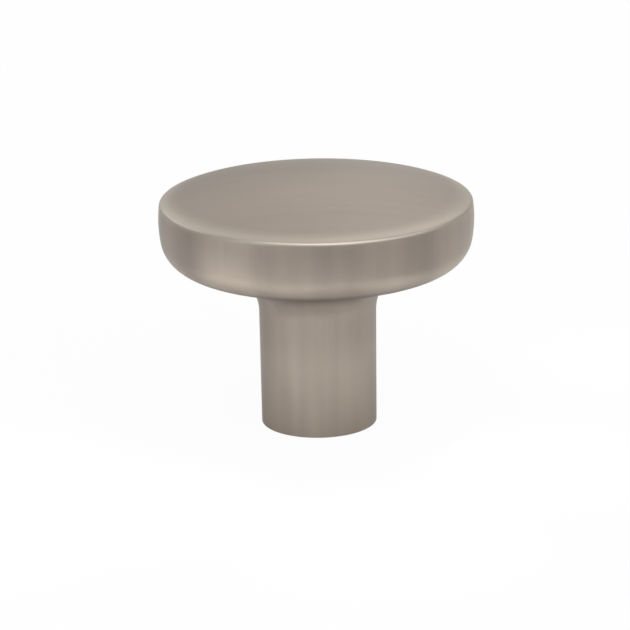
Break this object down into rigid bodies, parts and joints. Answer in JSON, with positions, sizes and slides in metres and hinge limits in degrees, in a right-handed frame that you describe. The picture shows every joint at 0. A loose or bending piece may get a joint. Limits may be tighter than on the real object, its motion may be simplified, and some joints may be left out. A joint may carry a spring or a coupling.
{
  "type": "cabinet knob",
  "caption": "Round cabinet and drawer knob: a gently domed disc head with a crisp rim and a rounded lower edge, flaring from a slender tapered stem, with a blind tapped hole in its base.",
  "frame": {"origin": "centre of the base, the face that sits on the door or drawer front", "axes": "+Z along the knob's axis, out of the door, from the base towards the face of the head; X and Y are alike"},
  "size_m": [0.035, 0.035, 0.028],
  "materials": {
    "satin_nickel": "satin brushed nickel plate, warm grey"
  },
  "bodies": {
    "root": {"knob_body": "satin_nickel"}
  },
  "joints": []
}
